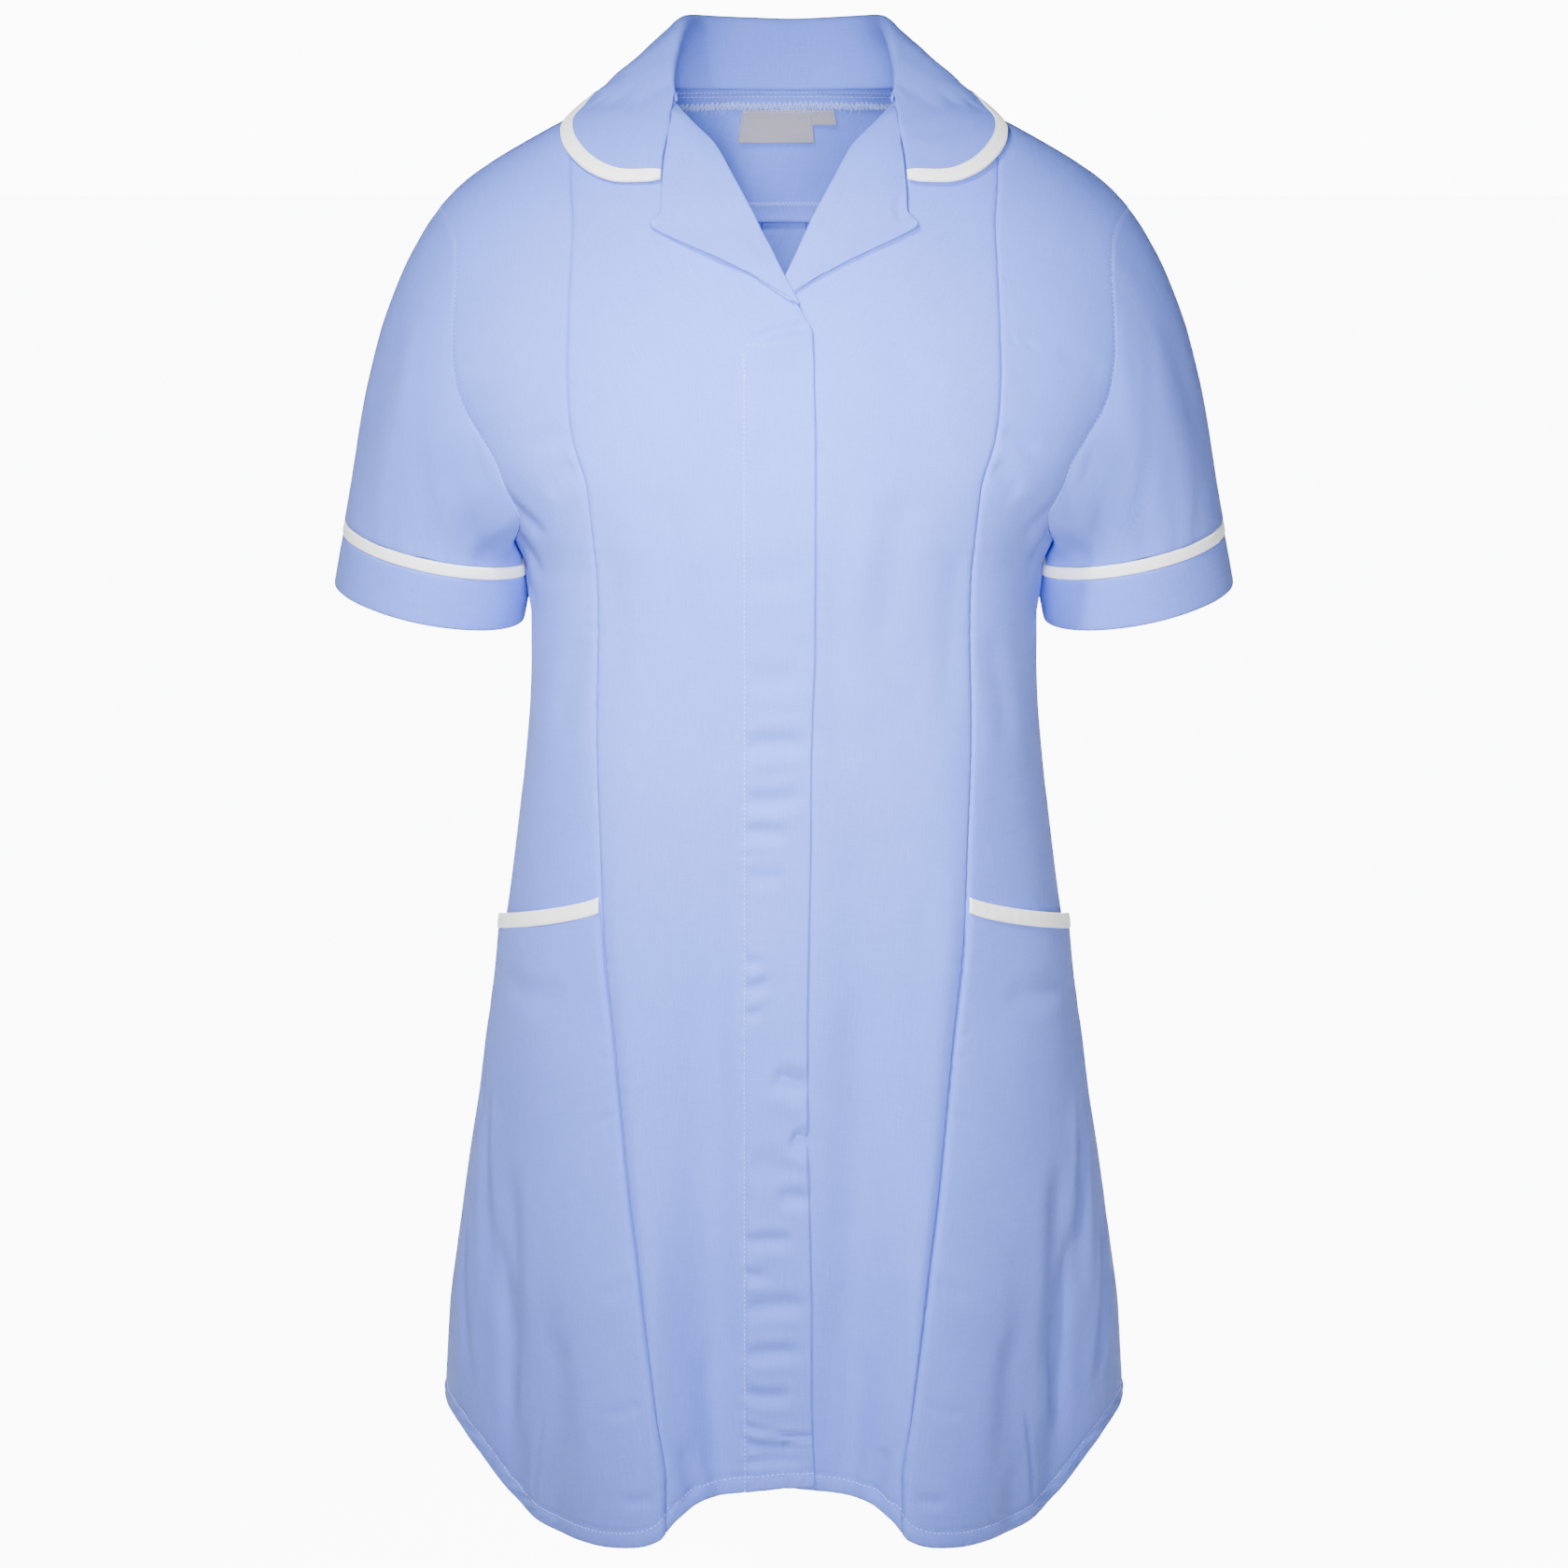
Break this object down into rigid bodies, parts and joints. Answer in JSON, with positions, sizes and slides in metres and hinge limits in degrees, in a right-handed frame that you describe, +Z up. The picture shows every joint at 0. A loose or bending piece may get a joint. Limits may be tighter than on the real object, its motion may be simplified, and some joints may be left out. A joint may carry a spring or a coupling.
{
  "type": "maternity tunic",
  "caption": "Hollow short-sleeved work tunic as worn, flared from the waist, with revers, a bound collar, bound cuffs and side pockets down to a curved hem.",
  "frame": {"origin": "midway between the two points where the shoulders meet the neck, in the middle of the wearer's neck", "axes": "+Z up along the wearer's spine, -Y the way the wearer faces, +X the wearer's left"},
  "size_m": [0.5118, 0.2977, 0.8411],
  "materials": {
    "blue_cotton": "plain woven cotton mix, matt",
    "white_binding": "off-white woven binding, matt",
    "grey_woven_tape": "woven tape, satin"
  },
  "bodies": {
    "root": {"back_hip_centre": "blue_cotton", "back_hip_left": "blue_cotton", "back_hip_right": "blue_cotton", "back_lower": "blue_cotton", "back_middle": "blue_cotton", "back_upper": "blue_cotton", "back_yoke": "blue_cotton", "collar": "blue_cotton", "collar_binding": "white_binding", "cuff_left": "blue_cotton", "cuff_right": "blue_cotton", "front_left_lower": "blue_cotton", "front_left_middle": "blue_cotton", "front_left_upper": "blue_cotton", "front_right_lower": "blue_cotton", "front_right_middle": "blue_cotton", "front_right_upper": "blue_cotton", "label": "grey_woven_tape", "neck_band": "blue_cotton", "pocket_binding_left": "white_binding", "pocket_binding_right": "white_binding", "pocket_left": "blue_cotton", "pocket_right": "blue_cotton", "rever_left": "blue_cotton", "rever_right": "blue_cotton", "side_front_left_lower": "blue_cotton", "side_front_left_middle": "blue_cotton", "side_front_left_upper": "blue_cotton", "side_front_right_lower": "blue_cotton", "side_front_right_middle": "blue_cotton", "side_front_right_upper": "blue_cotton", "size_tab": "grey_woven_tape", "sleeve_binding_left": "white_binding", "sleeve_binding_right": "white_binding", "sleeve_left": "blue_cotton", "sleeve_right": "blue_cotton"}
  },
  "joints": []
}
